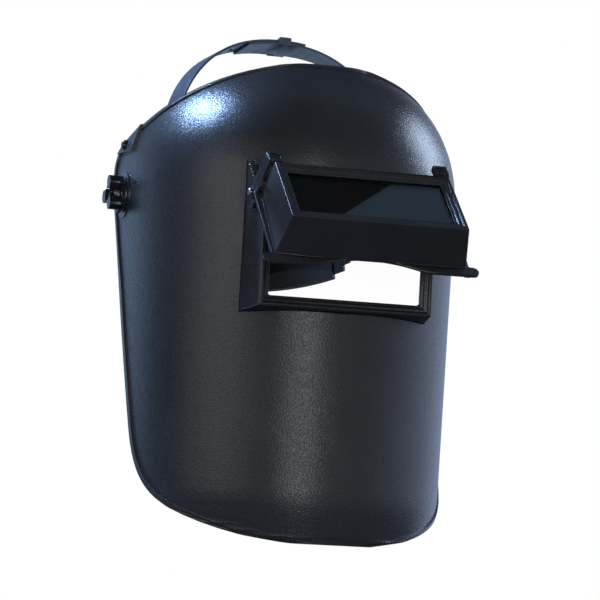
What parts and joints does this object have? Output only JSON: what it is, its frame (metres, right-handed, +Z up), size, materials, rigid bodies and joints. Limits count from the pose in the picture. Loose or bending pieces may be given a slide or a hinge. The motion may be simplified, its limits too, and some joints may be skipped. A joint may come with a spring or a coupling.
{
  "type": "welding helmet",
  "caption": "Welding helmet: bowed, domed face shell with a hinged lift-up filter front over a fixed clear window, tilting on a ratchet headgear with crown strap and nape pad.",
  "frame": {"origin": "middle of the tilt axis, halfway between the two pivot bolts that carry the shell on the headgear", "axes": "+X to the wearer's left, along the tilt axis; the wearer faces -Y; +Z up"},
  "size_m": [0.2472, 0.3526, 0.349],
  "materials": {
    "shell_plastic": "moulded polypropylene with a fine pebbled grain, satin",
    "frame_plastic": "smooth moulded nylon, satin black",
    "strap_plastic": "smooth blue-grey polyethylene",
    "gear_plastic": "smooth black nylon",
    "knob_plastic": "glossy black phenolic",
    "clear_glass": "clear polycarbonate",
    "shade_glass": "dark green filter glass",
    "cover_glass": "clear cover plate",
    "steel": "zinc-plated steel",
    "brass": "turned brass",
    "fibre": "pressed fibre",
    "gasket": "soft rubber",
    "padding": "foam under brushed cloth",
    "rack_plastic": "white acetal"
  },
  "bodies": {
    "headgear": {"side_arm_left": "gear_plastic", "side_arm_right": "gear_plastic", "pivot_bolt_left": "steel", "pivot_bolt_right": "steel", "friction_washer_left": "fibre", "friction_washer_right": "fibre", "knob_washer_left": "steel", "knob_washer_right": "steel", "forehead_band": "gear_plastic", "sweatband": "padding", "crown_strap_left": "strap_plastic", "crown_strap_right": "strap_plastic", "nape_strap_left": "gear_plastic", "nape_strap_right": "gear_plastic", "nape_pad": "gear_plastic", "band_rivets": "gear_plastic", "ratchet_base": "gear_plastic", "ratchet_cover": "gear_plastic"},
    "shell": {"shell": "shell_plastic", "lens_frame": "frame_plastic", "clear_lens": "clear_glass", "clear_lens_spring": "steel", "hinge_pin_left": "steel", "hinge_pin_right": "steel", "stop_pin_left": "gear_plastic", "stop_pin_right": "gear_plastic"},
    "lift_front": {"lift_front": "frame_plastic", "cover_lens": "cover_glass", "shade_gasket": "gasket", "shade_lens": "shade_glass", "shade_lens_spring": "steel"},
    "knob_left": {"knob_left": "knob_plastic", "knob_insert_left": "brass"},
    "knob_right": {"knob_right": "knob_plastic", "knob_insert_right": "brass"},
    "ratchet": {"ratchet_pinion": "rack_plastic", "ratchet_knob": "knob_plastic"}
  },
  "joints": [
    {"name": "shell_tilt", "type": "hinge", "parent": "headgear", "child": "shell", "pos_m": [0, 0, 0], "axis": [-1, 0, 0], "range_deg": [0, 75]},
    {"name": "lift_hinge", "type": "hinge", "parent": "shell", "child": "lift_front", "pos_m": [0, -0.153, -0.0055], "axis": [-1, 0, 0], "range_deg": [-45.5, 42]},
    {"name": "knob_left_turn", "type": "hinge", "parent": "headgear", "child": "knob_left", "pos_m": [0.113, 0, 0], "axis": [1, 0, 0], "continuous": true},
    {"name": "knob_right_turn", "type": "hinge", "parent": "headgear", "child": "knob_right", "pos_m": [-0.113, 0, 0], "axis": [-1, 0, 0], "continuous": true},
    {"name": "ratchet_turn", "type": "hinge", "parent": "headgear", "child": "ratchet", "pos_m": [0, 0.10064, -0.02758], "axis": [0, 0.9397, -0.342], "continuous": true}
  ]
}
